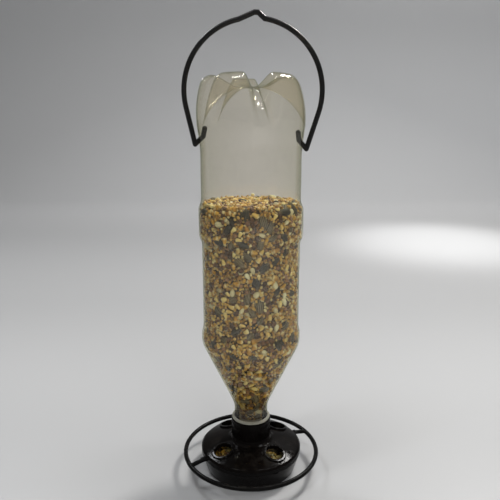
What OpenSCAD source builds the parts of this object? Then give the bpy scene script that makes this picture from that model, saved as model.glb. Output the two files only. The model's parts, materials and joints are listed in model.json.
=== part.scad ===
// Hanging bird feeder: an upturned one-litre drinks bottle screwed into a covered seed tray.
// Millimetres, +Z up. The origin is on the ground under the middle of the tray.
// The bail swings about an axis close to X, and -Y is the front.

/* [Seed tray] */
// Outer diameter of the tray at its foot
tray_foot_d = 78; // [74:1:80]
// Outer diameter of the tray, the perch hoop and the cover at the rim
rim_d = 87; // [84:1:88]
// Height of the tray's rim
tray_h = 16.4; // [16:0.2:17]
// Wall of the tray
tray_wall = 2.2; // [1.8:0.1:2.4]
// Height of the cone that spreads the seed over the floor
spreader_h = 9; // [6:1:10]
// Diameter of the drain holes in the floor
drain_d = 2.6; // [2:0.2:3]
// Number of drain holes
drains = 6; // [4:1:8]

/* [Perch ring] */
// Diameter of the perch ring, to the middle of its rod
perch_d = 115; // [110:1:120]
// Height of the middle of the perch rod
perch_z = 14.7; // [13:0.1:16]
// Diameter of the perch rod
perch_rod_d = 3.8; // [3:0.2:5]
// Diameter of the two arms
arm_d = 3.6; // [3:0.2:4]
// Direction of the first arm, from +X towards +Y
arm_angle = 28; // [20:1:40]
// Thickness of the hoop between the tray and the cover
hoop_t = 1.6; // [1.2:0.1:2]

/* [Cover] */
// Thickness of the cover's dome
cover_wall = 2; // [1.6:0.1:2.4]
// Diameter of each feeding port
port_d = 15; // [12:0.5:16]
// Distance of the ports from the middle of the cover
port_r = 31; // [30:0.5:31]
// Direction of the first port, from +X towards +Y
port_angle = 40; // [30:1:45]
// Number of ports and of twist-lock lugs
ports = 4; // [3:1:4]
// Outer diameter of the socket for the bottle's neck
socket_d = 34; // [33:0.5:36]

/* [Bottle] */
// Height of the underside of the neck's support ring
support_z = 46; // [45:0.5:47]
// Wall of the blown part of the bottle
bottle_wall = 0.5; // [0.4:0.1:0.8]
// Largest diameter of the bottle, at its feet
bottle_d = 85.2; // [84:0.2:87]
// Diameter of the neck above the support ring
neck_d = 28.4; // [27:0.2:29]
// Diameter of the label panel
panel_d = 79.6; // [78:0.2:81]
// Height of the tips of the five feet
feet_z = 332; // [330:0.5:334]
// Height of the middle of the base, between the feet
gate_z = 323.5; // [322:0.5:325]
// Number of feet
feet = 5; // [5:1:6]
// Turn of the valley between the feet from the front towards +X
feet_turn = 10; // [8:1:12]

/* [Bail] */
// Diameter of the bail's wire
wire_d = 4; // [3:0.2:4]
// Height of the wall holes that the bail swings in
pivot_z = 282.3; // [280:0.1:284]
// Tilt of the hand-made holes, the +X one lower
bail_tilt = 2.4; // [0:0.2:3]
// Diameter of the two holes in the bottle's wall
hole_d = 9.4; // [9.4:0.1:9.8]
// Radius of the bail's arc, to the middle of the wire
arc_r = 53.2; // [52:0.2:55]
// Height of the arc's centre above the pivot
arc_up = 37.7; // [36:0.1:39]
// Height of the kink's peak above the pivot
peak_up = 94.6; // [94:0.1:96]

/* [Seed] */
// Height of the seed in the bottle
seed_z = 236; // [120:1:260]

/* [Hidden] */
$fn = 96;
gap = 0.3;             // clearance between pieces that move past each other
fine = 0.05;           // clearance between faces that rest on each other
deep = 0.3;            // how far a joined shape sinks into its neighbour

foot_r = tray_foot_d / 2;
rim_r = rim_d / 2;
foot_ring_w = 4;       // width of the foot ring that the tray stands on
foot_ring_h = 1.2;
floor_z = foot_ring_h + 2;
spreader_r = 13;
drain_ring_r = 27;     // radius of the circle that the drain holes lie on

hoop_z = tray_h;       // underside of the perch hoop
hoop_in_r = 39.5;
arm_web_w = arm_d + 1.4;  // the flat root of each arm
arm_web_len = 5;
tab_w = 4;             // locating tabs under the hoop
tab_h = 1.5;

flange_z = hoop_z + hoop_t + fine;
flange_edge_z = flange_z + 1.4;
dome_low = [rim_r - 1.4, flange_edge_z + 1.2];
dome_high = [20, 27];
skirt_r = 37.9;
skirt_t = 1.6;
skirt_z = 11;
lug_t = 1.8;           // height of a twist-lock lug
lug_out = 1.1;         // how far a lug stands out of the skirt
lug_turn = 15;         // angle that a lug spans
hook_t = 2;            // height of a hook in the tray
hook_turn = 17;
stop_turn = 2.6;       // angle that the stop at a hook's end spans
stop_gap_turn = 0.7;   // clearance between a stop and its lug
socket_r = socket_d / 2;
socket_bore_r = 14.1;
tube_r = 16.2;         // outer radius of the socket below the dome
tube_z = 23.8;
throat_r = 11.3;
mouth_z = support_z - 20;
port_rim_w = 1.8;
seam_back = 35;        // the revolved shapes start this far before the first port, clear of the lugs
port_rim_h = 1.2;

neck_r = neck_d / 2;
panel_r = panel_d / 2;
body_r = bottle_d / 2;
shoulder_r = body_r - 1.4;
band_r = body_r - 0.4;  // the grip band above the label panel
upper_r = panel_r + 0.1;
label_low = 125.8;     // the label panel starts and ends with a smooth step
label_high = 203;
band_high = 229.8;
step_h = 5;            // height of a smooth step
upper_high = 274;      // the side widens from here to the heel
heel_z = 299;
neck_bend_r = 18;      // rounding between neck and cone
neck_bend_z = support_z + 9.85;
shoulder_bend_r = 14;  // rounding between cone and shoulder
finish_r = 12.45;      // radius of the neck finish between its threads
finish_bore_r = 10.9;
support_r = 16.5;
thread_z = mouth_z + 3;
thread_pitch = 3.175;
thread_turns = 1.6;
thread_crest = 0.7;
thread_root = 1.5;
thread_lug_t = 0.9;
thread_lug_turn = 24;
cone_turn = 25.2;      // slope of the cone's side from the axis
heel_r = 75;           // the feet's outer side, then their rounded tips
heel_bend_z = heel_z + 4;
tip_r = 10;
tip_start_turn = 12;   // the rounded tip starts this far past the outer side, and ends at tip_end_turn
tip_end_turn = 130;
pad_in_r = 15;         // radius where the feet meet the middle of the base
valley_z = 284;        // where the valleys between the feet begin
valley_low_z = 292;    // where a valley's floor leaves the side
valley_turn = 10;      // half-angle of a valley
cut_len = 60;          // longer than the bottle's radius

wire_r = wire_d / 2;
rod_back = 0.12;       // straight stretches end just inside the rounded bends
ball_over = 0.04;      // how much wider than the wire its rounded bends are
arc_back = 0.12;       // angle that the arc stops short of each bend
elbow = [43.7, -4.0];  // lowest bend of the bail, outside the wall
inside = [37.5, 2.4];  // bend inside the wall
tip = [36.5, 8.4];     // end of the hook
right_kink = 6.5;      // the hand-bent kink is wider on the -X side
left_kink = 13;
peak_flat = 1.5;       // half width of the kink's blunt peak
elbow_run = elbow - [0, arc_up];
// The arc runs into the straight leg at its tangent through the elbow, this far below the horizontal.
leg_turn = -atan2(elbow_run.y, elbow_run.x) - acos(arc_r / norm(elbow_run));

function arc(centre, r, from, to, steps) =
    [for (i = [0:steps]) let (a = from + (to - from) * i / steps) centre + r * [cos(a), sin(a)]];

function tray_r(z) = foot_r + (rim_r - foot_r) * z / tray_h;

// Height of the centre of the sphere that is centred on the axis and goes through two points.
function dome_centre(p, q) = (p * p - q * q) / (2 * (p.y - q.y));

// Shapes used by several pieces

module ring(r_in, r_out, z, h) {
    translate([0, 0, z])
        difference() {
            cylinder(r = r_out, h = h);
            translate([0, 0, -1]) cylinder(r = r_in, h = h + 2);
        }
}

// A piece of a ring that spans an angle about a direction.
module ring_part(r_in, r_out, z, h, middle, turn) {
    rotate([0, 0, middle - turn / 2])
        translate([0, 0, z])
            rotate_extrude(angle = turn)
                translate([r_in, 0]) square([r_out - r_in, h]);
}

// The bottle's screw thread: one ridge swept up a helix.
module thread() {
    per_turn = 24;
    rings = floor(thread_turns * per_turn);
    base_r = finish_r - deep;
    crest_r = finish_r + 1.25;
    function section(i) =
        let (a = 360 * i / per_turn, z = thread_z + thread_pitch * i / per_turn)
        [for (p = [[base_r, -thread_root / 2], [crest_r, -thread_crest / 2],
                   [crest_r, thread_crest / 2], [base_r, thread_root / 2]])
            [p.x * cos(a), p.x * sin(a), z + p.y]];
    points = [for (i = [0:rings]) each section(i)];
    sides = [for (i = [0:rings - 1], k = [0:3])
        let (a = 4 * i + k, b = 4 * i + (k + 1) % 4) [a, a + 4, b + 4, b]];
    polyhedron(points, concat([[0, 1, 2, 3]], sides, [[for (k = [3:-1:0]) 4 * rings + k]]), convexity = 6);
}

// The socket's interrupted thread: short lugs up the same helix, half a pitch away.
module thread_lugs() {
    for (i = [0:9])
        ring_part(finish_r + gap, socket_bore_r + deep,
                  thread_z + thread_pitch * (0.5 + i / 8) - thread_lug_t / 2, thread_lug_t,
                  360 * i / 8, thread_lug_turn);
}

// Tray

module tray_body() {
    rotate_extrude()
        polygon(concat(
            [[0, foot_ring_h], [foot_r - foot_ring_w - 1.6, foot_ring_h], [foot_r - foot_ring_w - 1, 0]],
            arc([tray_r(0) - 1.5, 1.5], 1.5, -90, -12, 4),
            [[rim_r, tray_h - 0.6], [rim_r - 0.5, tray_h], [rim_r - tray_wall, tray_h]],
            [[tray_r(floor_z) - tray_wall, floor_z + 2], [tray_r(floor_z) - tray_wall - 2, floor_z]],
            [[spreader_r, floor_z], [3.4, floor_z + spreader_h - 1], [1.6, floor_z + spreader_h - 0.2]],
            [[0, floor_z + spreader_h]]));
}

module tray_hook(middle) {
    hook_z = skirt_z + lug_t + gap;
    inner_r = skirt_r + gap;
    outer_r = tray_r(hook_z + hook_t) - tray_wall + deep;
    ring_part(inner_r, outer_r, hook_z, hook_t, middle, hook_turn);
    ring_part(inner_r, outer_r, skirt_z, lug_t + gap + hook_t / 2,
              middle - lug_turn / 2 - stop_gap_turn - stop_turn / 2, stop_turn);
}

module seed_tray() {
    color([0.06, 0.06, 0.06])
        difference() {
            union() {
                tray_body();
                for (i = [0:ports - 1]) tray_hook(lug_angle(i));
            }
            for (i = [0:drains - 1])
                rotate([0, 0, 360 * i / drains])
                    translate([drain_ring_r, 0, -1]) cylinder(d = drain_d, h = floor_z + 2, $fn = 32);
            for (side = [90, 270])
                rotate([0, 0, arm_angle + side])
                    translate([rim_r - tray_wall - 1, -tab_w / 2 - gap / 2, tray_h - tab_h - gap])
                        cube([tray_wall + 3, tab_w + gap, tab_h + 2]);
        }
}

function lug_angle(i) = port_angle + 360 * (i + 0.5) / ports;

// Perch ring

module perch_arm() {
    root = [rim_r + 2, hoop_z + hoop_t / 2 - 0.2];
    end = [perch_d / 2, perch_z];
    run = end - root;
    translate([rim_r - 1, -arm_web_w / 2, hoop_z]) cube([arm_web_len, arm_web_w, hoop_t]);
    translate([root.x, 0, root.y])
        rotate([0, atan2(run.x, run.y), 0]) cylinder(d = arm_d, h = norm(run));
    translate([root.x, 0, root.y]) sphere(d = arm_d);
}

module perch_ring() {
    color([0.08, 0.08, 0.08]) {
        ring(hoop_in_r, rim_r, hoop_z, hoop_t);
        translate([0, 0, perch_z])
            rotate_extrude() translate([perch_d / 2, 0]) circle(d = perch_rod_d, $fn = 32);
        for (side = [0, 180])
            rotate([0, 0, arm_angle + side]) perch_arm();
        for (side = [90, 270])
            rotate([0, 0, arm_angle + side])
                translate([rim_r - tray_wall + 0.1, -tab_w / 2, hoop_z - tab_h])
                    cube([tray_wall - 0.8, tab_w, tab_h + deep]);
    }
}

// Cover

// Points along the dome, moved outwards by extra.
function dome_curve(extra) =
    let (centre = [0, dome_centre(dome_low, dome_high)],
         low = dome_low - centre,
         high = dome_high - centre)
    arc(centre, norm(low) + extra, atan2(low.y, low.x), atan2(high.y, high.x), 8);

module cover_shell() {
    centre_z = dome_centre(dome_low, dome_high);
    under_r = norm(dome_low - [0, centre_z]) - cover_wall;
    rotate([0, 0, port_angle - seam_back])
        rotate_extrude()
            polygon(concat(
                [[skirt_r, flange_z], [rim_r, flange_z], [rim_r, flange_edge_z]],
                dome_curve(0),
                [[socket_r + 1, dome_high.y + 1.2], [socket_r, dome_high.y + 3]],
                [[socket_r, support_z - 0.6], [socket_r - 0.5, support_z - fine]],
                [[socket_bore_r, support_z - fine], [socket_bore_r, mouth_z - gap]],
                [[throat_r, mouth_z - gap - 0.4]],
                [[throat_r, tube_z], [tube_r, tube_z], [tube_r, sqrt(under_r ^ 2 - tube_r ^ 2) + centre_z]],
                [for (r = [20:4:36]) [r, sqrt(under_r ^ 2 - r ^ 2) + centre_z]],
                [[skirt_r - skirt_t, flange_z + 1.2], [skirt_r - skirt_t, skirt_z], [skirt_r, skirt_z]]));
}

module port_rims() {
    outer = dome_curve(port_rim_h);
    inner = dome_curve(-1);
    intersection() {
        rotate([0, 0, port_angle - seam_back])
            rotate_extrude() polygon(concat(outer, [for (i = [len(inner) - 1:-1:0]) inner[i]]));
        for (i = [0:ports - 1]) at_port(i) cylinder(d = port_d + 2 * port_rim_w, h = 40);
    }
}

module base_cover() {
    color([0.05, 0.05, 0.05]) {
        difference() {
            union() {
                cover_shell();
                port_rims();
                for (i = [0:ports - 1])
                    ring_part(skirt_r - deep, skirt_r + lug_out, skirt_z, lug_t, lug_angle(i), lug_turn);
            }
            for (i = [0:ports - 1]) at_port(i) cylinder(d = port_d, h = 40);
        }
        thread_lugs();
    }
}

module at_port(i) {
    rotate([0, 0, port_angle + 360 * i / ports]) translate([port_r, 0, skirt_z + 4]) children();
}

// Bottle: the side walls from the neck to the heel, then the base. inset moves the surface inwards.

function cone_foot() =
    [neck_r + neck_bend_r * (1 - cos(cone_turn)), neck_bend_z + neck_bend_r * sin(cone_turn)];

function cone_top() =
    let (r = shoulder_r - shoulder_bend_r * (1 - cos(cone_turn)))
    [r, cone_foot().y + (r - cone_foot().x) / tan(cone_turn)];

// A smooth step in the side, from one radius to another.
function side_step(from_r, to_r, z) =
    [for (k = [0:3]) [from_r + (to_r - from_r) * (1 - cos(60 * k)) / 2, z + step_h * k / 3]];

function side_wall() =
    let (shoulder_z = cone_top().y + shoulder_bend_r * sin(cone_turn))
    concat(
        arc([neck_r + neck_bend_r, neck_bend_z], neck_bend_r, 180, 180 - cone_turn, 5),
        arc([shoulder_r - shoulder_bend_r, shoulder_z], shoulder_bend_r, -cone_turn, 0, 5),
        side_step(shoulder_r, panel_r, label_low),
        side_step(panel_r, band_r, label_high),
        side_step(band_r, upper_r, band_high),
        [[upper_r, upper_high], [upper_r + 0.3, upper_high + 5]],
        [[body_r - 1.5, heel_z - 13], [body_r - 0.5, heel_z - 6], [body_r, heel_z]]);

function foot_side(inset) =
    let (low = [body_r - heel_r, heel_bend_z],
         turn = asin((feet_z - tip_r - low.y) / (heel_r - tip_r)),
         tip_centre = low + (heel_r - tip_r) * [cos(turn), sin(turn)])
    concat(
        arc(low, heel_r - inset, 0, turn, 4),
        arc(tip_centre, tip_r - inset, turn + tip_start_turn, tip_end_turn, 8),
        [[pad_in_r, gate_z + 1.5 - inset], [0, gate_z - inset]]);

module valleys(inset) {
    centre_z = dome_centre([body_r, valley_low_z], [0, gate_z]);
    widen = inset / cos(valley_turn);
    half_w = cut_len * tan(valley_turn) + widen;
    difference() {
        for (i = [0:feet - 1])
            rotate([0, 0, 360 * (i + 0.5) / feet + 90])
                rotate([90, 0, 90])
                    linear_extrude(cut_len)
                        polygon([[-widen, valley_z], [widen, valley_z],
                                 [half_w, valley_z + cut_len], [-half_w, valley_z + cut_len]]);
        translate([0, 0, centre_z]) sphere(r = gate_z - centre_z - inset);
    }
}

module bottle_solid(low_part, inset) {
    rotate([0, 0, feet_turn])
        difference() {
            rotate_extrude()
                polygon(concat(low_part, [for (p = side_wall()) [p.x - inset, p.y]], foot_side(inset)));
            valleys(inset);
        }
}

module finish_outside() {
    bead_z = support_z - 6.6;
    bead_r = socket_bore_r - gap + fine;
    bottle_solid([
        [0, mouth_z], [finish_r - 0.5, mouth_z], [finish_r, mouth_z + 0.5], [finish_r, bead_z],
        [bead_r, bead_z + 0.8], [bead_r, bead_z + 1.6], [finish_r + 0.6, bead_z + 2],
        [finish_r + 0.6, support_z], [support_r - 0.4, support_z], [support_r, support_z + 0.4],
        [support_r, support_z + 1.2], [support_r - 0.6, support_z + 1.8], [neck_r, support_z + 2.2]
    ], 0);
}

module inside_of_bottle(inset) {
    bottle_solid([
        [0, mouth_z - 1 + inset], [finish_bore_r + bottle_wall - inset, mouth_z - 1 + inset],
        [finish_bore_r + bottle_wall - inset, support_z + 3]
    ], inset);
}

module bail_frame() {
    translate([0, 0, pivot_z]) rotate([0, bail_tilt, 0]) children();
}

module bottle() {
    color([0.78, 0.82, 0.76, 0.35]) {
        difference() {
            finish_outside();
            inside_of_bottle(bottle_wall);
            bail_frame() rotate([0, 90, 0]) cylinder(d = hole_d, h = 120, center = true, $fn = 48);
        }
        thread();
    }
}

// Bail: everything lies in one plane through the pivot axis

module rod(p, q) {
    run = q - p;
    translate([p.x, 0, p.y])
        rotate([0, atan2(run.x, run.y), 0])
            translate([0, 0, rod_back]) cylinder(r = wire_r, h = norm(run) - 2 * rod_back, $fn = 32);
}

module bend(p) {
    translate([p.x, 0, p.y]) sphere(r = wire_r + ball_over, $fn = 32);
}

module bail_half(kink_x) {
    centre = [0, arc_up];
    leg_top = centre + arc_r * [cos(leg_turn), -sin(leg_turn)];
    kink_turn = acos(kink_x / arc_r);
    kink = centre + arc_r * [cos(kink_turn), sin(kink_turn)];
    translate([0, 0, arc_up])
        rotate([90, 0, 0])
            rotate([0, 0, arc_back - leg_turn])
                rotate_extrude(angle = leg_turn + kink_turn - 2 * arc_back)
                    translate([arc_r, 0]) circle(r = wire_r, $fn = 32);
    rod(leg_top, elbow);
    rod(elbow, inside);
    rod(inside, tip);
    rod(kink, [peak_flat, peak_up]);
    rod([-2 * rod_back, peak_up], [peak_flat, peak_up]);
    for (p = [leg_top, elbow, inside, tip, kink, [peak_flat, peak_up]]) bend(p);
}

module bail_wire() {
    color([0.07, 0.07, 0.07])
        bail_frame() {
            bail_half(right_kink);
            mirror([1, 0, 0]) bail_half(left_kink);
        }
}

// Seed

module seed_column() {
    color([0.62, 0.48, 0.3])
        intersection() {
            translate([0, 0, mouth_z + gap]) cylinder(r = body_r, h = seed_z - mouth_z - gap);
            inside_of_bottle(bottle_wall + gap);
        }
}

module tray_seed() {
    heap_low = skirt_z - gap;
    skirt_in_r = skirt_r - skirt_t - gap;
    color([0.6, 0.45, 0.28])
        rotate_extrude()
            polygon([
                [spreader_r + 0.4, floor_z + 0.1], [tray_r(floor_z) - tray_wall - 2.2, floor_z + 0.1],
                [tray_r(floor_z) - tray_wall - gap, floor_z + 2],
                [tray_r(heap_low) - tray_wall - 1, heap_low],
                [skirt_in_r, heap_low], [skirt_in_r, 12.8], [31, 15.2], [24, 18.4],
                [tube_r, 21.8], [throat_r + 0.8, tube_z - gap], [throat_r - gap, tube_z - gap],
                [throat_r - gap, mouth_z - 0.2], [0, mouth_z - 0.2], [0, floor_z + spreader_h + 0.3],
                [1.8, floor_z + spreader_h + 0.1], [3.8, floor_z + spreader_h - 0.7]
            ]);
}

seed_tray();
perch_ring();
base_cover();
bottle();
bail_wire();
seed_column();
tray_seed();
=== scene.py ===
"""Hanging bird feeder: an upturned drinks bottle full of mixed seed, screwed into a covered tray."""
import json
import math
import bpy
import numpy as np
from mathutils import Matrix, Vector
from mathutils.bvhtree import BVHTree


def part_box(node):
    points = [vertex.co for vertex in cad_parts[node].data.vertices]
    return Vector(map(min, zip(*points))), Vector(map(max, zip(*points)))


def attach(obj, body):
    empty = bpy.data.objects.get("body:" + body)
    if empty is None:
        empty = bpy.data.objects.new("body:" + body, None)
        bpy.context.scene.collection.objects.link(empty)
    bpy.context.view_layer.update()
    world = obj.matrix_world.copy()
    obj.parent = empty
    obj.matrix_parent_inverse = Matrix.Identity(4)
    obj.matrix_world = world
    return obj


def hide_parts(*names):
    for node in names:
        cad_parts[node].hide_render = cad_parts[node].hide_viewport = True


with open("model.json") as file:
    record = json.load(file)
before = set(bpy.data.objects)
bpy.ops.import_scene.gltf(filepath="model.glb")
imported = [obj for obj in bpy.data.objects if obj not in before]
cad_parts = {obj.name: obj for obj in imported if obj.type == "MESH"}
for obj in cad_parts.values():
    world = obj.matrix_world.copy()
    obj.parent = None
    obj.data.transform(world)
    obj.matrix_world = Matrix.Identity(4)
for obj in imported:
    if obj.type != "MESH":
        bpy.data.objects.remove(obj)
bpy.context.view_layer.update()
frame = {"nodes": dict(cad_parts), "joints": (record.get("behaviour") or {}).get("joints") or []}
nodes = frame["nodes"]

MM = 0.001
ROUND = 2 * math.pi
rng = np.random.default_rng(20)

# Heights and radii in the part's frame, in metres
mouth, bottle_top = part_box("bottle")[0].z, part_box("bottle")[1].z
seed_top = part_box("seed_column")[1].z
bail_swing = next(joint for joint in frame["joints"] if joint["name"] == "bail_swing")
pivot, pivot_axis = Vector(bail_swing["pos_m"]), Vector(bail_swing["axis"])


# Materials

def new_material(name):
    made = bpy.data.materials.new(name)
    made.use_nodes = True
    made.node_tree.nodes.clear()
    return made


def add(tree, kind, inputs=None, **settings):
    """A node with its settings, and its inputs linked to a socket or set to a value."""
    made = tree.nodes.new("ShaderNode" + kind)
    for key, value in settings.items():
        setattr(made, key, value)
    for key, value in (inputs or {}).items():
        if isinstance(value, bpy.types.NodeSocket):
            tree.links.new(value, made.inputs[key])
        else:
            made.inputs[key].default_value = value
    return made


def ramp(tree, factor, stops, smooth=False):
    """A colour ramp through (place, colour) stops; a single number stands for a grey."""
    made = add(tree, "ValToRGB", {"Fac": factor})
    elements = made.color_ramp.elements
    while len(elements) < len(stops):
        elements.new(0.5)
    for element, (place, colour) in zip(elements, stops):
        element.position = place
        element.color = (*colour, 1) if hasattr(colour, "__len__") else (colour, colour, colour, 1)
    if smooth:
        made.color_ramp.interpolation = "EASE"
    return made.outputs["Color"]


def noise(tree, where, scale, detail=3.0, roughness=0.5, distortion=0.0):
    return add(tree, "TexNoise", {"Vector": where, "Scale": scale, "Detail": detail,
                                  "Roughness": roughness, "Distortion": distortion}).outputs["Fac"]


def mapped(tree, where, scale):
    return add(tree, "Mapping", {"Vector": where, "Scale": scale}).outputs["Vector"]


def math_node(tree, operation, a, b=0.0):
    return add(tree, "Math", {0: a, 1: b}, operation=operation).outputs["Value"]


def mix_colour(tree, factor, a, b, blend="MIX"):
    made = add(tree, "Mix", data_type="RGBA", blend_type=blend)
    for key, value in ((0, factor), (6, a), (7, b)):
        if isinstance(value, bpy.types.NodeSocket):
            tree.links.new(value, made.inputs[key])
        else:
            made.inputs[key].default_value = value if key == 0 else (*value, 1)
    return made.outputs[2]


def bump(tree, height, strength, distance, under=None):
    inputs = {"Height": height, "Strength": strength, "Distance": distance}
    if under is not None:
        inputs["Normal"] = under
    return add(tree, "Bump", inputs).outputs["Normal"]


def to_surface(tree, shader):
    out = add(tree, "OutputMaterial")
    tree.links.new(shader, out.inputs["Surface"])


def place_of(tree):
    return add(tree, "TexCoord").outputs["Object"]


def black_plastic(name, dark, pale, shine, scuff=0.5):
    """Moulded glossy black plastic: flow marks, an orange-peel surface, scratches and a film of dust."""
    made = new_material(name)
    tree = made.node_tree
    where = place_of(tree)
    flow = noise(tree, mapped(tree, where, (1, 1, 2.2)), 55, 4, 0.6, 0.6)
    peel = noise(tree, where, 520, 2, 0.5)
    scratch = noise(tree, mapped(tree, where, (40, 900, 300)), 3.2, 5, 0.65, 0.3)
    dust = noise(tree, where, 150, 6, 0.7)
    up = add(tree, "SeparateXYZ", {"Vector": add(tree, "NewGeometry").outputs["Normal"]}).outputs["Z"]
    settled = math_node(tree, "MULTIPLY", ramp(tree, up, [(0.45, 0.0), (1.0, 1.0)]),
                        ramp(tree, dust, [(0.48, 0.0), (0.72, 1.0)]))
    worn = ramp(tree, scratch, [(0.57, 0.0), (0.66, 1.0)])
    marks = math_node(tree, "MULTIPLY", worn, scuff)
    colour = mix_colour(tree, flow, dark, pale)
    colour = mix_colour(tree, math_node(tree, "MULTIPLY", marks, 0.06), colour, (0.10, 0.095, 0.09))
    colour = mix_colour(tree, math_node(tree, "MULTIPLY", settled, 0.03), colour, (0.20, 0.17, 0.13))
    rough = math_node(tree, "ADD", math_node(tree, "MULTIPLY", flow, 0.14), shine)
    rough = math_node(tree, "ADD", rough, math_node(tree, "MULTIPLY", marks, 0.16))
    rough = math_node(tree, "ADD", rough, math_node(tree, "MULTIPLY", settled, 0.12))
    rounded = add(tree, "Bevel", {"Radius": 0.0007}, samples=6).outputs["Normal"]
    normal = bump(tree, peel, 0.16, 0.0004, rounded)
    normal = bump(tree, scratch, 0.05 * scuff, 0.0004, normal)
    normal = bump(tree, flow, 0.22, 0.0008, normal)
    shader = add(tree, "BsdfPrincipled", {"Base Color": colour, "Roughness": rough, "Normal": normal,
                                          "IOR": 1.5, "Specular IOR Level": 0.055})
    to_surface(tree, shader.outputs["BSDF"])
    return made


def coated_wire():
    """Black vinyl-dipped wire: a soft gloss, small sags in the coating, rubbed spots and a few pinholes."""
    made = new_material("coated_wire")
    tree = made.node_tree
    where = place_of(tree)
    sag = noise(tree, where, 120, 3, 0.5)
    grain = noise(tree, where, 900, 3, 0.6)
    rubbed = ramp(tree, noise(tree, where, 60, 6, 0.72), [(0.60, 0.0), (0.68, 1.0)])
    pits = add(tree, "TexVoronoi", {"Vector": where, "Scale": 420.0}).outputs["Distance"]
    pits = ramp(tree, pits, [(0.0, 0.0), (0.12, 1.0)])
    colour = mix_colour(tree, sag, (0.004, 0.004, 0.004), (0.010, 0.009, 0.008))
    colour = mix_colour(tree, math_node(tree, "MULTIPLY", rubbed, 0.35), colour, (0.05, 0.04, 0.03))
    rough = math_node(tree, "ADD", math_node(tree, "MULTIPLY", grain, 0.2),
                      math_node(tree, "ADD", math_node(tree, "MULTIPLY", rubbed, 0.22), 0.24))
    normal = bump(tree, sag, 0.5, 0.0006)
    normal = bump(tree, grain, 0.2, 0.0002, normal)
    normal = bump(tree, pits, 0.25, 0.0002, normal)
    shader = add(tree, "BsdfPrincipled", {"Base Color": colour, "Roughness": rough, "Normal": normal,
                                          "IOR": 1.5, "Specular IOR Level": 0.3})
    to_surface(tree, shader.outputs["BSDF"])
    return made


def clear_plastic(ring_low, ring_high):
    """Thin clear bottle plastic, olive and darker where it is seen edge on, with blow-moulding ripples.
    The support ring between the two heights is frosted and milky."""
    made = new_material("clear_plastic")
    tree = made.node_tree
    where = place_of(tree)
    height = add(tree, "SeparateXYZ", {"Vector": where}).outputs["Z"]
    in_ring = math_node(tree, "MULTIPLY", math_node(tree, "GREATER_THAN", height, ring_low),
                        math_node(tree, "LESS_THAN", height, ring_high))
    ripple = noise(tree, mapped(tree, where, (1, 1, 0.45)), 55, 2, 0.45)
    fine = noise(tree, where, 260, 3, 0.5)
    scratch = noise(tree, mapped(tree, where, (500, 500, 40)), 2.4, 4, 0.6)
    normal = bump(tree, ripple, 0.30, 0.0016)
    normal = bump(tree, fine, 0.08, 0.0004, normal)
    facing = add(tree, "LayerWeight", {"Blend": 0.5, "Normal": normal}).outputs["Facing"]
    tint = ramp(tree, facing, [(0.0, (0.988, 0.973, 0.940)), (0.5, (0.965, 0.952, 0.910)),
                               (0.8, (0.85, 0.845, 0.775)), (1.0, (0.50, 0.52, 0.43))])
    thick = ramp(tree, math_node(tree, "MULTIPLY", height, 10.0),
                 [(0.50, (0.72, 0.71, 0.68)), (0.72, (1, 1, 1))])
    see = add(tree, "BsdfTransparent", {"Color": mix_colour(tree, 1.0, tint, thick, "MULTIPLY")})
    haze_colour = ramp(tree, fine, [(0.3, (0.60, 0.58, 0.47)), (0.7, (0.74, 0.72, 0.62))])
    haze = add(tree, "BsdfDiffuse", {"Color": haze_colour, "Normal": normal})
    hazy = ramp(tree, scratch, [(0.45, 0.006), (0.75, 0.028)])
    hazy = math_node(tree, "ADD", hazy, math_node(tree, "MULTIPLY", in_ring, 0.34))
    body = add(tree, "MixShader", {0: hazy, 1: see.outputs[0], 2: haze.outputs[0]})
    rough = ramp(tree, scratch, [(0.4, 0.045), (0.75, 0.13)])
    gloss = add(tree, "BsdfGlossy", {"Color": (1, 0.985, 0.94, 1), "Roughness": rough, "Normal": normal})
    shine = ramp(tree, facing, [(0.0, 0.040), (0.6, 0.048), (0.85, 0.13), (1.0, 0.40)])
    both = add(tree, "MixShader", {0: shine, 1: body.outputs[0], 2: gloss.outputs[0]})
    to_surface(tree, both.outputs[0])
    return made


def seed_material(name, stops, rough, stripe=None, spot=None, shine=0.0):
    """The coat of one kind of seed: each seed has its own tone and mottling, with a tip in the spot colour
    and stripes along it where the kind has them."""
    made = new_material(name)
    tree = made.node_tree
    where = place_of(tree)
    tone = add(tree, "Attribute", attribute_name="tone").outputs["Fac"]
    along = add(tree, "Attribute", attribute_name="along").outputs["Fac"]
    across = add(tree, "Attribute", attribute_name="across").outputs["Fac"]
    mottle = noise(tree, where, 700, 4, 0.65)
    shade = math_node(tree, "ADD", tone, math_node(tree, "MULTIPLY", mottle, 0.36))
    colour = ramp(tree, math_node(tree, "SUBTRACT", shade, 0.18), stops)
    if stripe:
        wave = math_node(tree, "SINE", math_node(tree, "MULTIPLY", across, 15.0))
        wave = math_node(tree, "ADD", wave, math_node(tree, "MULTIPLY", mottle, 1.1))
        band = ramp(tree, wave, [(0.72, 0.0), (0.98, 1.0)])
        band = math_node(tree, "MULTIPLY", band, ramp(tree, tone, [(0.35, 0.25), (0.5, 1.0)]))
        colour = mix_colour(tree, math_node(tree, "MULTIPLY", band, 0.55), colour, stripe)
    if spot:
        tip = ramp(tree, along, [(0.66, 0.0), (0.95, 1.0)])
        colour = mix_colour(tree, math_node(tree, "MULTIPLY", tip, 0.75), colour, spot)
    normal = bump(tree, mottle, 0.35, 0.0005)
    shader = add(tree, "BsdfPrincipled", {"Base Color": colour, "Roughness": rough, "Normal": normal,
                                          "IOR": 1.45, "Coat Weight": shine, "Coat Roughness": 0.2})
    to_surface(tree, shader.outputs["BSDF"])
    return made


# Meshes

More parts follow.
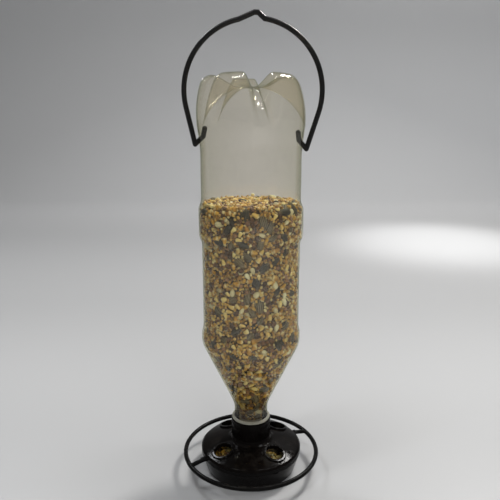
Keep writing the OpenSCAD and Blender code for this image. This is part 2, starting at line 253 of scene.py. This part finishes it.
def new_object(name, points, faces, material):
    mesh = bpy.data.meshes.new(name)
    mesh.from_pydata([tuple(p) for p in points], [], [tuple(f) for f in faces])
    mesh.update()
    made = bpy.data.objects.new(name, mesh)
    bpy.context.scene.collection.objects.link(made)
    mesh.materials.append(material)
    mesh.shade_smooth()
    return made


def resample(line, step):
    """Points a step apart along a polyline of (radius, height)."""
    line = np.array(line, float)
    run = np.concatenate([[0], np.cumsum(np.hypot(*np.diff(line, axis=0).T))])
    count = max(2, int(round(run[-1] / step)) + 1)
    at = np.linspace(0, run[-1], count)
    return np.stack([np.interp(at, run, line[:, 0]), np.interp(at, run, line[:, 1])], axis=1)


def soften(line, passes):
    """The same points with their corners rounded off; the ends stay."""
    line = line.copy()
    for _ in range(passes):
        line[1:-1] = 0.25 * line[:-2] + 0.5 * line[1:-1] + 0.25 * line[2:]
    return line


def arc(centre, radius, start, end, steps=16):
    turn = np.radians(np.linspace(start, end, steps + 1))
    return [(centre[0] + radius * math.cos(a), centre[1] + radius * math.sin(a)) for a in turn]


def rows_of_faces(rows, columns):
    """Quads between rings of points, each row closing on itself."""
    faces = []
    for i in range(rows - 1):
        a, b = i * columns, (i + 1) * columns
        faces += [(a + j, a + (j + 1) % columns, b + (j + 1) % columns, b + j) for j in range(columns)]
    return faces


# Bottle, in millimetres until its mesh is made

NECK_R, FINISH_R, BORE_R, BEAD_R, SUPPORT_R = 14.2, 12.45, 10.9, 13.85, 16.5
SHOULDER_R, PANEL_R, BAND_R, UPPER_R, BODY_R = 41.2, 39.8, 42.2, 39.9, 42.6
SUPPORT_Z, GATE_Z, HEEL_Z = 46.0, 323.5, 286.0
CONE_TURN, FEET, FEET_TURN, WALL = 25.2, 5, 10, 0.5
NECK_BEND_R, SHOULDER_BEND_R, VALLEY_TURN, BAIL_HOLE_R = 18, 14, 10, 4.7
BOTTLE_COLUMNS = 180


def finish_line():
    """The neck finish outside, from the mouth up through the tamper bead and the support ring."""
    low, bead, ring = mouth / MM, SUPPORT_Z - 6.6, SUPPORT_Z
    return [(FINISH_R - 0.7, low), (FINISH_R - 0.15, low + 0.2), (FINISH_R, low + 0.7), (FINISH_R, bead),
            (BEAD_R, bead + 0.8), (BEAD_R, bead + 1.6),
            (FINISH_R + 0.6, bead + 2), (FINISH_R + 0.6, ring - 0.2),
            (SUPPORT_R - 0.5, ring), (SUPPORT_R, ring + 0.45), (SUPPORT_R, ring + 1.15),
            (SUPPORT_R - 0.5, ring + 1.75), (NECK_R + 0.5, ring + 2.1), (NECK_R, ring + 2.7)]


def wall_line():
    """The blown wall outside, from the neck over the cone, the panels and the bands to the heel."""
    neck_curve = arc((NECK_R + NECK_BEND_R, SUPPORT_Z + 9.85), NECK_BEND_R, 180, 180 - CONE_TURN)
    foot = neck_curve[-1]
    rounding = SHOULDER_BEND_R
    cone_r = SHOULDER_R - rounding * (1 - math.cos(math.radians(CONE_TURN)))
    cone_z = foot[1] + (cone_r - foot[0]) / math.tan(math.radians(CONE_TURN))
    shoulder_z = cone_z + rounding * math.sin(math.radians(CONE_TURN))
    shoulder = arc((SHOULDER_R - rounding, shoulder_z), rounding, -CONE_TURN, 0)
    return [*neck_curve, *shoulder,
            (SHOULDER_R, 126), (PANEL_R + 0.9, 128), (PANEL_R, 130.5), (PANEL_R, 203),
            (PANEL_R + 0.6, 204.4), (BAND_R - 0.3, 206.6), (BAND_R, 208.5), (BAND_R, 229.5),
            (BAND_R - 0.3, 231.4), (UPPER_R + 0.6, 233.6), (UPPER_R, 236), (UPPER_R, 274),
            (UPPER_R + 0.3, 279), (BODY_R - 1.5, HEEL_Z)]


def foot_lines():
    """The base as two lines from the heel to the gate: over the tip of a foot, and down in a valley."""
    tip_r, heel_r = 9.5, 75
    low = (BODY_R - heel_r, 303)
    turn = math.asin((bottle_top / MM - 0.1 - tip_r - low[1]) / (heel_r - tip_r))
    tip = (low[0] + (heel_r - tip_r) * math.cos(turn), low[1] + (heel_r - tip_r) * math.sin(turn))
    start = [(BODY_R - 1.5, HEEL_Z), (BODY_R - 0.5, 293), (BODY_R, 299)]
    foot = [*start, *arc(low, heel_r, 0, math.degrees(turn))[1:],
            *arc(tip, tip_r, math.degrees(turn) + 8, 128),
            (14.5, GATE_Z + 0.8), (9, GATE_Z - 0.4), (0, GATE_Z)]
    sphere_r = 44.6
    sphere_z = GATE_Z - sphere_r
    valley = [(BODY_R - 1.5, HEEL_Z), (BODY_R - 1.2, 289.5), *arc((0, sphere_z), sphere_r, 19, 90, 30)]
    return foot, valley


def foot_share(angle, height):
    """1 on a foot and 0 in the valley beside it; the valleys widen towards the tips."""
    spacing = ROUND / FEET
    front_valley = math.radians(270 + FEET_TURN)
    from_valley = abs((angle - front_valley + spacing / 2) % spacing - spacing / 2)
    away = BODY_R * from_valley
    half = 1.1 + max(0.0, height - HEEL_Z) * math.tan(math.radians(VALLEY_TURN))
    share = min(1.0, max(0.0, (away - 0.25 * half) / (1.3 * half + 1.8)))
    return share * share * (3 - 2 * share)


def thread_height(angle, height):
    """How far the screw thread stands out at a point of the neck finish."""
    pitch, turns, crest = 3.175, 1.6, 1.2
    start = mouth / MM + 3
    best = 0.0
    for k in range(3):
        turn = angle / ROUND + k
        if turn > turns:
            continue
        off = abs(height - start - pitch * turn)
        fade = min(1.0, turn / 0.06, (turns - turn) / 0.06)
        best = max(best, crest * fade * min(1.0, max(0.0, (0.85 - off) / 0.45)))
    return best


def ripple(angle, height):
    """The slight unevenness of a blown wall."""
    return (0.07 * math.sin(3 * angle + height * 0.045) + 0.05 * math.sin(7 * angle - height * 0.09 + 1.3)
            + 0.03 * math.sin(13 * angle + height * 0.21 + 0.4))


def bottle_rings(step, inset):
    """Rings of points from the mouth to the gate, in millimetres, moved inwards by inset."""
    angles = ROUND * np.arange(BOTTLE_COLUMNS) / BOTTLE_COLUMNS
    if inset:
        finish = [(BORE_R, mouth / MM), (BORE_R, SUPPORT_Z + 1), (NECK_R - inset - 0.2, SUPPORT_Z + 5)]
        finish = resample(finish, step)
    else:
        finish = soften(resample(finish_line(), min(step, 0.6)), 1)
    wall = soften(resample(wall_line(), step), 4)
    wall[:, 0] -= inset
    rings = []
    for r, z in [*finish, *wall[wall[:, 1] > finish[-1][1] + 0.4]]:
        smooth_wall = min(1.0, max(0.0, (z - SUPPORT_Z - 6) / 8))
        ring = []
        for a in angles:
            out = r + (ripple(a, z) * smooth_wall)
            if not inset and z < SUPPORT_Z - 7:
                out += thread_height(a, z)
            ring.append((out * math.cos(a), out * math.sin(a), z))
        rings.append(ring)
    foot, valley = (resample(line, 0.05) for line in foot_lines())
    count = int(95 / step)
    places = np.linspace(0, 1, count + 1)[1:-1]
    for t in places:
        on_foot = foot[int(t * (len(foot) - 1))]
        in_valley = valley[int(t * (len(valley) - 1))]
        ring = []
        for a in angles:
            share = foot_share(a, on_foot[1]) * min(1.0, (1 - t) / 0.14)
            r = share * on_foot[0] + (1 - share) * in_valley[0]
            z = share * on_foot[1] + (1 - share) * in_valley[1]
            out = max(0.05, r - inset * min(1.0, r / 20) + ripple(a, z) * (1 - t))
            ring.append((out * math.cos(a), out * math.sin(a), z - inset * t))
        rings.append(ring)
    return rings


def make_bottle(material):
    """One closed wall: outside up from the mouth to the gate, and back down inside."""
    outside = bottle_rings(1.1, 0)
    inside = bottle_rings(3.0, WALL)
    columns = BOTTLE_COLUMNS
    points = [p for ring in outside for p in ring] + [p for ring in inside[::-1] for p in ring]
    gate, gate_inside = len(points), len(points) + 1
    points += [(0, 0, GATE_Z + 0.5), (0, 0, GATE_Z - WALL)]
    faces = rows_of_faces(len(outside), columns)
    last = (len(outside) - 1) * columns
    first_inside = len(outside) * columns
    faces += [(last + j, last + (j + 1) % columns, gate) for j in range(columns)]
    faces += [(first_inside + (j + 1) % columns, first_inside + j, gate_inside) for j in range(columns)]
    faces += [tuple(first_inside + k for k in face) for face in rows_of_faces(len(inside), columns)]
    end = first_inside + (len(inside) - 1) * columns
    faces += [(end + j, end + (j + 1) % columns, (j + 1) % columns, j) for j in range(columns)]
    made = new_object("bottle_wall", np.array(points) * MM, faces, material)
    cut_bail_holes(made)
    return made


def cut_bail_holes(wall):
    """The two holes for the bail, along the pivot's axis."""
    bpy.ops.mesh.primitive_cylinder_add(vertices=40, radius=BAIL_HOLE_R * MM, depth=0.12, location=pivot)
    cutter = bpy.context.object
    cutter.rotation_mode = "QUATERNION"
    cutter.rotation_quaternion = pivot_axis.to_track_quat("Z", "Y")
    modifier = wall.modifiers.new("bail_holes", "BOOLEAN")
    modifier.operation, modifier.solver, modifier.object = "DIFFERENCE", "MANIFOLD", cutter
    bpy.context.view_layer.update()
    cut = wall.evaluated_get(bpy.context.evaluated_depsgraph_get())
    mesh = bpy.data.meshes.new_from_object(cut)
    wall.modifiers.clear()
    wall.data = mesh
    mesh.shade_smooth()
    bpy.data.objects.remove(cutter)


# Seed

def seed_shape(segments, rings, width, lump=0.0):
    """A closed unit seed along X, as points and triangles: width(u) is its half width at u from -1 to 1."""
    points, faces = [(-1, 0, 0)], []
    for i in range(1, rings):
        u = -math.cos(math.pi * i / rings)
        for j in range(segments):
            a = ROUND * j / segments
            w = width(u) * (1 + lump * math.sin(2.3 * j + 5.1 * i))
            x = u * (1 + 0.3 * lump * math.cos(3.1 * j))
            points.append((x, w * math.cos(a), w * math.sin(a)))
    points.append((1, 0, 0))
    end = len(points) - 1
    for j in range(segments):
        k = (j + 1) % segments
        faces.append((0, 1 + k, 1 + j))
        last = 1 + (rings - 2) * segments
        faces.append((end, last + j, last + k))
        for i in range(rings - 2):
            a, b = 1 + i * segments, 1 + (i + 1) * segments
            faces += [(a + j, a + k, b + k), (a + j, b + k, b + j)]
    return np.array(points, float), np.array(faces)


def round_width(u):
    return math.sqrt(max(0.0, 1 - u * u))


def drop_width(u):
    return math.sqrt(max(0.0, 1 - u * u)) * (1 - 0.38 * u)


def chip_width(u):
    return (max(0.0, 1 - u ** 4)) ** 0.5 * (0.85 + 0.25 * u)


class Kind:
    """One kind of seed: its half sizes in millimetres, shape, material and share of the surface."""

    def __init__(self, name, half, shape, material, share):
        self.name, self.half, self.shape = name, half, shape
        self.material, self.share = material, share
        self.reach = math.sqrt(half[0] * half[1])


class Surface:
    """A surface of revolution from a CAD node, that seed is pressed against: points with their normals."""

    def __init__(self, node, low, high, from_axis):
        self.tree = BVHTree.FromPolygons([v.co.copy() for v in nodes[node].data.vertices],
                                         [tuple(p.vertices) for p in nodes[node].data.polygons])
        self.line = []
        if from_axis:
            for z in np.arange(low, high, 0.5 * MM):
                hit = self.outermost(z)
                if hit:
                    self.line.append((hit / MM, z / MM))
        else:
            for r in np.arange(low, high, 0.5 * MM):
                hit = self.tree.ray_cast(Vector((r, 0.0001, 0.5)), Vector((0, 0, -1)))[0]
                if hit:
                    self.line.append((r / MM, hit.z / MM))
        self.line = np.array(self.line)
        steps = np.diff(self.line, axis=0)
        lengths = np.hypot(*steps.T)
        self.middles = (self.line[1:] + self.line[:-1]) / 2
        self.tangents = steps / lengths[:, None]
        areas = lengths * np.maximum(self.middles[:, 0], 0.2)
        self.area = ROUND * areas.sum()
        self.sums = np.cumsum(areas) / areas.sum()

    def outermost(self, z):
        hit = self.tree.ray_cast(Vector((0.5, 0.0001, z)), Vector((-1, 0, 0)))[0]
        return hit.x if hit else None

    def point(self, spread):
        """A random point on the surface in millimetres, its outward normal, and the way along the line."""
        i = min(int(np.searchsorted(self.sums, rng.random())), len(self.middles) - 1)
        r, z = self.middles[i] + self.tangents[i] * (rng.random() - 0.5) * 0.5
        a = ROUND * rng.random()
        c, s = math.cos(a), math.sin(a)
        tr, tz = self.tangents[i]
        normal = np.array([tz * c, tz * s, -tr]) * spread
        return np.array([r * c, r * s, z]), normal, np.array([tr * c, tr * s, tz])


def scatter(surface, kinds, depth, cover, side=1):
    """Throws seeds on the surface, the largest kinds first, keeping each clear of those there before it.
    Gives (kind, place, rotation, size) rows. depth is how far under the surface a layer lies."""
    cell = 4.0
    grid = {}
    rows = []
    for kind in sorted(kinds, key=lambda k: -k.reach):
        wanted = int(surface.area * cover * kind.share / (math.pi * kind.half[0] * kind.half[1]))
        tries = made = 0
        while made < wanted and tries < wanted * 14:
            tries += 1
            place, normal, along = surface.point(side)
            size = rng.normal(1, 0.1)
            reach = kind.reach * size * 0.86
            key = tuple(int(c // cell) for c in place)
            near = (grid.get((key[0] + i, key[1] + j, key[2] + k), ())
                    for i in (-2, -1, 0, 1, 2) for j in (-2, -1, 0, 1, 2) for k in (-2, -1, 0, 1, 2))
            if any(np.dot(place - p, place - p) < (reach + r) ** 2 for found in near for p, r in found):
                continue
            grid.setdefault(key, []).append((place, reach))
            made += 1
            tilt = rng.normal(0, 0.22, 2)
            side_way = np.cross(normal, along)
            turn = ROUND * rng.random()
            long_way = math.cos(turn) * along + math.sin(turn) * side_way
            long_way = long_way + tilt[0] * normal
            long_way /= np.linalg.norm(long_way)
            up = normal + tilt[1] * side_way
            up -= long_way * np.dot(up, long_way)
            up /= np.linalg.norm(up)
            rotation = np.stack([long_way, np.cross(up, long_way), up], axis=1)
            lift = (abs(tilt[0]) * kind.half[0] + kind.half[2]) * size
            centre = place - normal * (lift + depth + 0.12)
            rows.append((kind, centre, rotation, size))
    return rows


def seeds_object(name, kind, rows):
    """All the seeds of one kind as one mesh, with each seed's tone and the place along and across it."""
    base, faces = kind.shape
    points, all_faces, tone, along, across = [], [], [], [], []
    half = np.array(kind.half)
    for i, (_, centre, rotation, size) in enumerate(rows):
        squeeze = rng.normal(1, 0.07, 3)
        points.append((base * half * size * squeeze) @ rotation.T + centre)
        all_faces.append(faces + i * len(base))
        tone.append(np.full(len(base), rng.random()))
        along.append((base[:, 0] + 1) / 2)
        across.append(base[:, 1])
    points = np.concatenate(points) * MM
    all_faces = np.concatenate(all_faces)
    mesh = bpy.data.meshes.new(name)
    mesh.vertices.add(len(points))
    mesh.vertices.foreach_set("co", points.astype(np.float32).ravel())
    mesh.loops.add(all_faces.size)
    mesh.loops.foreach_set("vertex_index", all_faces.astype(np.int32).ravel())
    mesh.polygons.add(len(all_faces))
    mesh.polygons.foreach_set("loop_start", np.arange(0, all_faces.size, 3, dtype=np.int32))
    mesh.update(calc_edges=True)
    for key, values in (("tone", tone), ("along", along), ("across", across)):
        attribute = mesh.attributes.new(key, "FLOAT", "POINT")
        attribute.data.foreach_set("value", np.concatenate(values).astype(np.float32))
    mesh.shade_smooth()
    mesh.materials.append(kind.material)
    made = bpy.data.objects.new(name, mesh)
    bpy.context.scene.collection.objects.link(made)
    return made


def core_object(name, line, step, columns, lump, material):
    """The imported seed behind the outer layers: a bumpy closed solid turned from a (radius, height) line."""
    line = resample(line, step)
    turns = ROUND * np.arange(columns) / columns
    rows = []
    for r, z in line:
        wave = np.sin(9 * turns + z * 0.8) * np.sin(z * 1.1 + 4 * turns)
        wave = wave + np.sin(23 * turns - z * 1.7) * 0.6
        out = np.maximum(r + lump * wave * min(1.0, r / 6), 0.2)
        rows.append(np.stack([out * np.cos(turns), out * np.sin(turns), z + lump * 0.5 * wave], axis=1))
    points = np.concatenate([*rows, [[0, 0, line[0][1]], [0, 0, line[-1][1]]]])
    faces = rows_of_faces(len(line), columns)
    low, high = len(points) - 2, len(points) - 1
    last = (len(line) - 1) * columns
    faces += [((j + 1) % columns, j, low) for j in range(columns)]
    faces += [(last + j, last + (j + 1) % columns, high) for j in range(columns)]
    return new_object(name, points * MM, faces, material)


def seed_kinds():
    white = seed_material("millet_white", [(0.0, (0.317, 0.212, 0.0713)), (0.45, (0.577, 0.452, 0.178)),
                                           (1.0, (0.763, 0.674, 0.335))], 0.42, shine=0.15)
    gold = seed_material("millet_gold", [(0.0, (0.232, 0.115, 0.025)), (0.5, (0.484, 0.289, 0.0642)),
                                         (1.0, (0.652, 0.444, 0.121))], 0.42, shine=0.15)
    milo = seed_material("milo", [(0.0, (0.055, 0.028, 0.013)), (0.5, (0.160, 0.080, 0.036)),
                                  (1.0, (0.340, 0.190, 0.085))], 0.45,
                         spot=(0.0931, 0.0578, 0.0214), shine=0.1)
    corn = seed_material("cracked_corn", [(0.0, (0.391, 0.193, 0.025)), (0.5, (0.596, 0.347, 0.0499)),
                                          (1.0, (0.791, 0.655, 0.25))], 0.5, spot=(0.801, 0.752, 0.428))
    safflower = seed_material("safflower", [(0.0, (0.447, 0.385, 0.207)), (0.5, (0.652, 0.607, 0.356)),
                                            (1.0, (0.782, 0.771, 0.499))], 0.4,
                              spot=(0.418, 0.308, 0.129), shine=0.2)
    sunflower = seed_material("sunflower", [(0.0, (0.0112, 0.00963, 0.00642)),
                                            (0.5, (0.0242, 0.0212, 0.0143)),
                                            (1.0, (0.0792, 0.0578, 0.0285))], 0.55,
                              stripe=(0.372, 0.318, 0.164), spot=(0.205, 0.155, 0.0713))
    return [
        Kind("sunflower", (5.2, 2.7, 1.7), seed_shape(10, 8, drop_width), sunflower, 0.17),
        Kind("safflower", (3.6, 2.0, 1.6), seed_shape(8, 7, drop_width), safflower, 0.05),
        Kind("cracked_corn", (2.7, 2.1, 1.3), seed_shape(6, 4, chip_width, 0.16), corn, 0.21),
        Kind("milo", (2.0, 1.8, 1.6), seed_shape(8, 6, round_width), milo, 0.15),
        Kind("millet_gold", (1.3, 1.1, 1.0), seed_shape(6, 4, round_width), gold, 0.20),
        Kind("millet_white", (1.25, 1.1, 1.0), seed_shape(6, 4, round_width), white, 0.14),
    ]


def packed_material():
    """The seed deeper in, seen only through gaps: painted dark as seed lying in shade, mottled with the
    colours of the seeds, with painted shade in the creases between the seeds.
    """
    made = new_material("packed_seed")
    tree = made.node_tree
    where = place_of(tree)
    cells = add(tree, "TexVoronoi", {"Vector": where, "Scale": 330.0})
    grain = ramp(tree, add(tree, "SeparateXYZ", {"Vector": cells.outputs["Color"]}).outputs["X"],
                 [(0.0, (0.0326, 0.0193, 0.00713)), (0.4, (0.159, 0.0819, 0.025)),
                  (0.7, (0.317, 0.193, 0.057)), (1.0, (0.418, 0.318, 0.121))])
    # Painted shade: each cell is darker towards its edge, for the creases between the packed seeds.
    edge = ramp(tree, cells.outputs["Distance"], [(0.2, 1.0), (0.75, 0.15)])
    colour = mix_colour(tree, 0.85, grain, edge, "MULTIPLY")
    normal = bump(tree, cells.outputs["Distance"], 0.9, -0.0012)
    shader = add(tree, "BsdfPrincipled", {"Base Color": colour, "Roughness": 0.6, "Normal": normal})
    to_surface(tree, shader.outputs["BSDF"])
    return made


def fill_with_seed(prefix, body, kinds, layers):
    """layers are (surface, depth, cover, side) rows; all seeds of one kind become one piece on the body."""
    rows = [row for surface, depth, cover, side in layers
            for row in scatter(surface, kinds, depth, cover, side)]
    for kind in kinds:
        mine = [row for row in rows if row[0] is kind]
        if mine:
            piece = seeds_object(f"{prefix}_{kind.name}", kind, mine)
            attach(piece, body)


# Stage

def stage_material():
    """A pale matt table top and backdrop, with painted light and shade that changes with depth: darkest in
    the middle distance, lighter near the camera and up the backdrop.
    """
    made = new_material("stage")
    tree = made.node_tree
    where = place_of(tree)
    depth = add(tree, "SeparateXYZ", {"Vector": where}).outputs["Y"]
    share = add(tree, "MapRange", {"Value": depth, "From Min": -0.5, "From Max": 2.5}).outputs["Result"]
    # Painted light and shade: the grey follows depth to stand in for how the room's light falls across the
    # table and backdrop.
    grey = ramp(tree, share, [(0.0, 0.39), (0.17, 0.37), (0.22, 0.39), (0.33, 0.335), (0.5, 0.31),
                              (0.75, 0.47), (1.0, 0.53)], smooth=True)
    speck = noise(tree, where, 90, 4, 0.6)
    colour = mix_colour(tree, math_node(tree, "MULTIPLY", speck, 0.06), grey, (0.30, 0.31, 0.33))
    shader = add(tree, "BsdfPrincipled", {"Base Color": colour, "Roughness": 0.42,
                                          "Normal": bump(tree, speck, 0.05, 0.001)})
    to_surface(tree, shader.outputs["BSDF"])
    return made


def make_stage():
    """A floor that sweeps up into a backdrop behind the object."""
    turn_y, turn_r, half = 1.7, 0.8, 4.0
    line = [(-2.2, 0.0), (turn_y, 0.0)]
    line += [(turn_y + turn_r * math.sin(a), turn_r * (1 - math.cos(a)))
             for a in np.linspace(0, math.pi / 2, 25)]
    line += [(turn_y + turn_r, 3.6)]
    line = resample(line, 0.05)
    points = [(x, y, z) for y, z in line for x in (-half, half)]
    faces = [(2 * i, 2 * i + 1, 2 * i + 3, 2 * i + 2) for i in range(len(line) - 1)]
    made = new_object("studio_sweep", points, faces, stage_material())


def area_light(name, place, aim, size, power, colour=(1, 1, 1), mirrored=True):
    """A rectangular light; one that isn't mirrored gives light but no reflection of itself."""
    data = bpy.data.lights.new(name, "AREA")
    data.shape, data.energy, data.color = "RECTANGLE", power, colour
    data.size, data.size_y = size
    made = bpy.data.objects.new(name, data)
    made.location = place
    made.rotation_euler = (Vector(aim) - Vector(place)).to_track_quat("-Z", "Y").to_euler()
    made.visible_glossy = mirrored
    bpy.context.scene.collection.objects.link(made)


def make_lights():
    world = bpy.data.worlds.new("studio")
    world.use_nodes = True
    world.node_tree.nodes["Background"].inputs["Color"].default_value = (0.93, 0.96, 1.0, 1)
    world.node_tree.nodes["Background"].inputs["Strength"].default_value = 0.20
    bpy.context.scene.world = world
    middle = (0, 0, 0.14)
    area_light("window_right", (0.74, 0.88, 1.44), middle, (0.24, 0.34), 21, (1.0, 0.98, 0.95))
    area_light("window_left", (-0.80, 0.98, 1.40), middle, (0.20, 0.30), 9, (0.95, 0.97, 1.0))
    area_light("ceiling_left", (-0.55, -0.30, 1.9), (0, 0, 0.3), (0.10, 0.7), 7)
    area_light("ceiling_right", (0.50, 0.10, 1.8), (0, 0, 0.3), (0.10, 0.6), 5)
    area_light("soft_front_top", (0.45, -1.2, 1.6), middle, (1.0, 0.6), 7, mirrored=False)
    area_light("soft_front_low", (0.40, -1.3, 0.40), middle, (0.8, 0.4), 6, mirrored=False)
    area_light("soft_over_table", (1.2, 1.9, 2.4), (0.8, 1.9, 0), (1.6, 1.2), 30, mirrored=False)
    data = bpy.data.lights.new("glow_on_table", "SPOT")
    data.energy, data.spot_size, data.spot_blend, data.shadow_soft_size = 165, math.radians(24), 1.0, 0.1
    glow = bpy.data.objects.new("glow_on_table", data)
    glow.location = (0.75, 1.2, 1.6)
    glow.rotation_euler = (Vector((0.50, 0.97, 0)) - glow.location).to_track_quat("-Z", "Y").to_euler()
    bpy.context.scene.collection.objects.link(glow)


def make_camera():
    data = bpy.data.cameras.new("camera")
    data.lens, data.sensor_width = 39.38, 36
    camera = bpy.data.objects.new("camera", data)
    bpy.context.scene.collection.objects.link(camera)
    pitch_down = 12.6
    camera.location = (-0.0008, -0.437, 0.2927)
    camera.rotation_euler = (math.radians(90 - pitch_down), 0, 0)
    data.clip_start = 0.01
    bpy.context.scene.camera = camera


# Scene

def dress_cad_nodes():
    """The hard parts keep their CAD meshes and get their finishes."""
    finishes = {
        "seed_tray": black_plastic("tray_black", (0.0030, 0.0026, 0.0026), (0.006, 0.005, 0.0045),
                                   0.10, 0.6),
        "perch_ring": black_plastic("perch_black", (0.0025, 0.0025, 0.0025), (0.006, 0.0055, 0.005),
                                    0.18, 0.9),
        "base_cover": black_plastic("cover_black", (0.0016, 0.0012, 0.0011), (0.0036, 0.0027, 0.0023),
                                    0.05, 0.5),
        "bail_wire": coated_wire(),
    }
    for name, finish in finishes.items():
        nodes[name].data.materials.clear()
        nodes[name].data.materials.append(finish)


def make_seed():
    kinds = seed_kinds()
    packed = packed_material()
    column = Surface("seed_column", mouth + 2 * MM, seed_top - 0.5 * MM, True)
    line = [(max(r - 4.2, 1.0), z) for r, z in column.line]
    line = [(line[0][0], mouth / MM + 1)] + line[:-8] + [(line[-8][0], seed_top / MM - 3.4)]
    core = core_object("column_packed", line, 1.6, 120, 0.35, packed)
    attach(core, "seed")
    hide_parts("seed_column")
    top = Surface("seed_column", 0.5 * MM, column.line[-1][0] * MM - 1.2 * MM, False)
    fill_with_seed("column", "seed", kinds,
                   [(column, 0, 0.92, 1), (column, 2.2, 0.6, 1), (top, 0.2, 0.9, -1), (top, 2.2, 0.5, -1)])


def make_tray_seed():
    kinds = seed_kinds()
    heap = Surface("tray_seed", 14 * MM, 36.8 * MM, False)
    line = [(r, z - 3.0) for r, z in heap.line]
    line = [(0.5, 12.6), *line, (line[-1][0], 4.6), (15, 4.4)]
    core = core_object("tray_packed", line, 1.4, 96, 0.3, packed_material())
    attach(core, "tray")
    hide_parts("tray_seed")
    fill_with_seed("tray", "tray", kinds, [(heap, 0, 0.9, -1), (heap, 1.8, 0.5, -1)])


make_camera()
make_lights()
make_stage()
dress_cad_nodes()
bottle = make_bottle(clear_plastic((SUPPORT_Z - 0.1) * MM, (SUPPORT_Z + 2.3) * MM))
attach(bottle, "bottle")
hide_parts("bottle")
make_seed()
make_tray_seed()

bpy.context.scene.view_settings.view_transform = "Standard"
bpy.context.scene.cycles.transparent_max_bounces = 24
